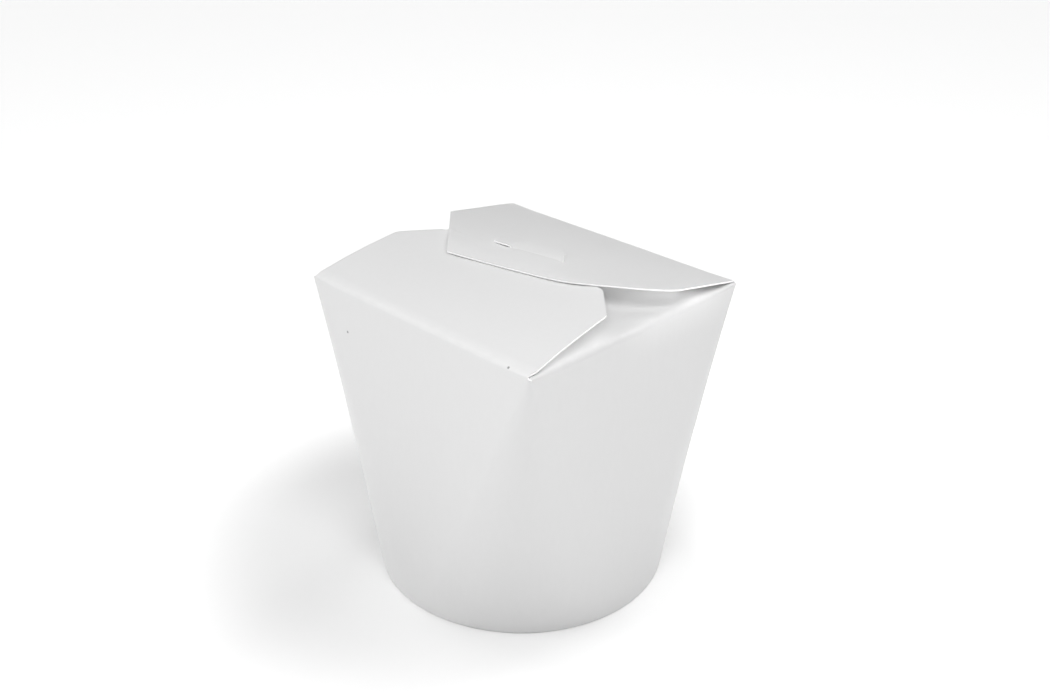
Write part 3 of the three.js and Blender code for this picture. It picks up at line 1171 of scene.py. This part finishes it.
def disc_profile():
    """(radius, height) of each ring above the lip's own edge, from the lip to the middle."""
    rings = [(DISC_RADIUS, LIP_MIDDLE), (DISC_RADIUS, DISC_LEVEL - LIP_RADIUS)]
    for step in range(1, LIP_STEPS + 1):
        turn = math.pi / 2 * step / LIP_STEPS
        rings.append((DISC_RADIUS - LIP_RADIUS * (1 - math.cos(turn)),
                      DISC_LEVEL - LIP_RADIUS * (1 - math.sin(turn))))
    for step in range(-BEAD_STEPS, BEAD_STEPS + 1):
        share = step / BEAD_STEPS
        rings.append((BEAD_RADIUS - 2 * BEAD_WIDTH * share,
                      DISC_LEVEL - BEAD_HEIGHT * math.exp(-(2 * share) ** 2)))
    return rings + [(radius, DISC_LEVEL) for radius in INNER_RADII]


print("the disc has", len(disc_profile()), "rings")

# %% Make the base disc
DISC_STEPS = 176
MIDDLE_INSET = 0.5

disc = start_ring("base_disc_board", DISC_STEPS, DISC_RADIUS, DISC_LIP)
bpy.ops.mesh.select_all(action="SELECT")
for number, (radius, level) in enumerate(disc_profile(), 1):
    pull_row(number, lambda column: Vector((
        radius * math.cos(2 * math.pi * column / DISC_STEPS),
        radius * math.sin(2 * math.pi * column / DISC_STEPS), level)) * MM)
bpy.ops.mesh.edge_face_add()
bpy.ops.mesh.inset(thickness=MIDDLE_INSET * MM)
bpy.ops.mesh.select_all(action="SELECT")
bpy.ops.mesh.normals_make_consistent(inside=False)
sheet = bmesh.from_edit_mesh(disc.data)
middle_face = min(sheet.faces, key=lambda face: face.calc_center_median().xy.length)
if middle_face.normal.z > 0:
    bpy.ops.mesh.flip_normals()
bpy.ops.object.mode_set(mode="OBJECT")
thicken(disc, BOARD)
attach(disc, "root")
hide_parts("base_disc")

# %% [markdown]
# ## Floor
#
# The box stands on a white sweep of paper that is lit until it has no tone of its own, and only
# the soft shadow is left on it. One way is to flood the floor with lamps, but they would bleach
# the box as well. So the floor glows by itself, a painted light: faintly round the box, where a
# painted shadow deepens the lamps' own shadow, and more from a few centimetres away.

# %% A floor that glows away from the box
FLOOR_SIZE = 8
FLOOR_GREY = 0.927
FLOOR_ROUGHNESS = 0.9
FLOOR_SHINE = 0.1
# The glow is weakest round this centre and full beyond the span, which paints the soft shadow's
# shape.
GLOW_CENTRE = (-0.02, -0.015, 0)
GLOW_SPAN = (0.055, 0.12)
GLOW_STRENGTHS = (0.077, 0.47)

bpy.ops.mesh.primitive_plane_add(size=FLOOR_SIZE)
floor = bpy.context.object
floor.name = "floor"
material, nodes, links = new_material("pale floor with painted glow and shadow")
shader = nodes["Principled BSDF"]
shader.inputs["Base Color"].default_value = grey(FLOOR_GREY)
shader.inputs["Roughness"].default_value = FLOOR_ROUGHNESS
shader.inputs["Specular IOR Level"].default_value = FLOOR_SHINE
shader.inputs["Emission Color"].default_value = grey(1)
away = distance_node(nodes, links, nodes.new("ShaderNodeTexCoord").outputs["Object"], GLOW_CENTRE)
glow = range_node(nodes, links, away, *GLOW_STRENGTHS, *GLOW_SPAN)
glow.node.interpolation_type = "SMOOTHSTEP"
links.new(glow, shader.inputs["Emission Strength"])
floor.data.materials.append(material)
print("the floor's glow goes from", GLOW_STRENGTHS[0], "to", GLOW_STRENGTHS[1])

# %% [markdown]
# ## Light
#
# White board on white paper only shows its shape if the light comes unevenly. Five large panels
# far off give soft shadows and set each wall to its own grey, with the strongest behind and at
# the left. Two softboxes above the front and the right are near enough to shade the flaps from
# fold to edge.

# %% Panels and softboxes
PANEL_ANGLE = 33
NEAR_DISTANCE = 0.6
NEAR_SIZE = 0.35
NEAR_AIM = Vector((0, 0, 0.09))


def toward(azimuth, elevation):
    """A unit vector from the box to a lamp or a camera, with the azimuth from +X."""
    azimuth, elevation = math.radians(azimuth), math.radians(elevation)
    return Vector((math.cos(azimuth) * math.cos(elevation),
                   math.sin(azimuth) * math.cos(elevation), math.sin(elevation)))


def facing_back(away):
    """The turn of a lamp or a camera that stands this way out and looks back."""
    return away.to_track_quat("Z", "Y").to_euler()


def far_panel(name, azimuth, elevation, strength):
    """A large panel far off: the same light all over the floor, with soft shadows."""
    away = toward(azimuth, elevation)
    bpy.ops.object.light_add(type="SUN", location=away, rotation=facing_back(away))
    lamp = bpy.context.object
    lamp.name = name
    lamp.data.angle = math.radians(PANEL_ANGLE)
    lamp.data.energy = strength


def near_softbox(name, azimuth, elevation, energy):
    away = toward(azimuth, elevation)
    bpy.ops.object.light_add(type="AREA", location=away * NEAR_DISTANCE + NEAR_AIM,
                             rotation=facing_back(away))
    lamp = bpy.context.object
    lamp.name = name
    lamp.data.size = NEAR_SIZE
    lamp.data.energy = energy


far_panel("low left", -135, 12, 0.71)
far_panel("front left", -135, 40, 0.31)
far_panel("left", 180, 40, 0.7)
far_panel("right", 45, 40, 0.3)
far_panel("back right", 90, 40, 0.75)
near_softbox("near front", -45, 60, 1.63)
near_softbox("near right", 0, 55, 0.57)

# %% [markdown]
# ## Light in the hollows
#
# Real white board is thin enough to let light through, so the gaps under the flaps are grey and
# not black. Making the board translucent would cost much time and noise. Four weak lamps stand
# for it instead: three strips just under the flaps, and a card beside the box that throws light
# into the opening on the right. The camera doesn't see them.

# %% Small lamps
def small_lamp(name, start, end, facing, width, energy, spread=180):
    """A weak strip, in millimetres, that keeps the hollows under the flaps from going black."""
    start, end = Vector(start) * MM, Vector(end) * MM
    along = (end - start).normalized()
    away = -Vector(facing).normalized()
    turn = Matrix((along, away.cross(along), away)).transposed()
    bpy.ops.object.light_add(type="AREA", location=(start + end) / 2, rotation=turn.to_euler())
    lamp = bpy.context.object
    lamp.name = name
    lamp.data.shape = "RECTANGLE"
    lamp.data.size, lamp.data.size_y = (end - start).length, width * MM
    lamp.data.spread = math.radians(spread)
    lamp.data.energy = energy
    lamp.visible_camera = False


DOWN = (0, 0, -1)
small_lamp("through the board", (24, 8, 104.6), (40, 26, 102.6), DOWN, 7, 0.00019)
small_lamp("at the slot flap's edge", (31, 3, 105), (46.5, 30, 101.7), DOWN, 6, 0.0002)
small_lamp("side card", (75, 0, 107), (75, 38, 107), (-1, -0.2, -0.2), 6, 0.0003, 50)
small_lamp("through the tongue flap", (43.5, -38, 100.3), (41, -8, 103), DOWN, 5, 0.00017)

# %% [markdown]
# ## The white beyond the floor
#
# Past the floor's edge the view has to stay white too. The sky is white to the camera alone, so
# it adds no light of its own to the box.

# %% Sky
world = bpy.data.worlds.new("studio")
bpy.context.scene.world = world
world.use_nodes = True
nodes, links = world.node_tree.nodes, world.node_tree.links
background = nodes["Background"]
background.inputs["Color"].default_value = grey(1)
seen = nodes.new("ShaderNodeLightPath").outputs["Is Camera Ray"]
links.new(seen, background.inputs["Strength"])
bpy.context.scene.view_settings.view_transform = "Standard"
print("the sky is white to the camera only")

# %% [markdown]
# ## Camera
#
# The box is seen over its front corner, from about a third of the way up to overhead and less
# than half a metre away, so that its walls spread towards the top. The lens is shifted upwards,
# which places the box in the frame without turning the camera.

# %% Place the camera
CAMERA_AZIMUTH = -44.97
CAMERA_ELEVATION = 29.90
CAMERA_DISTANCE = 0.42228
CAMERA_TARGET = Vector((0, 0, 0.05))
SENSOR_WIDTH = 36
LENS = 44.571
LENS_SHIFT = (0.00314, 0.066)
NEAREST = 0.01

away = toward(CAMERA_AZIMUTH, CAMERA_ELEVATION)
bpy.ops.object.camera_add(location=CAMERA_TARGET + away * CAMERA_DISTANCE,
                          rotation=facing_back(away))
camera = bpy.context.object
camera.data.sensor_width = SENSOR_WIDTH
camera.data.lens = LENS
camera.data.shift_x, camera.data.shift_y = LENS_SHIFT
camera.data.clip_start = NEAREST
bpy.context.scene.camera = camera
print("the camera stands at", [round(v, 3) for v in camera.location])
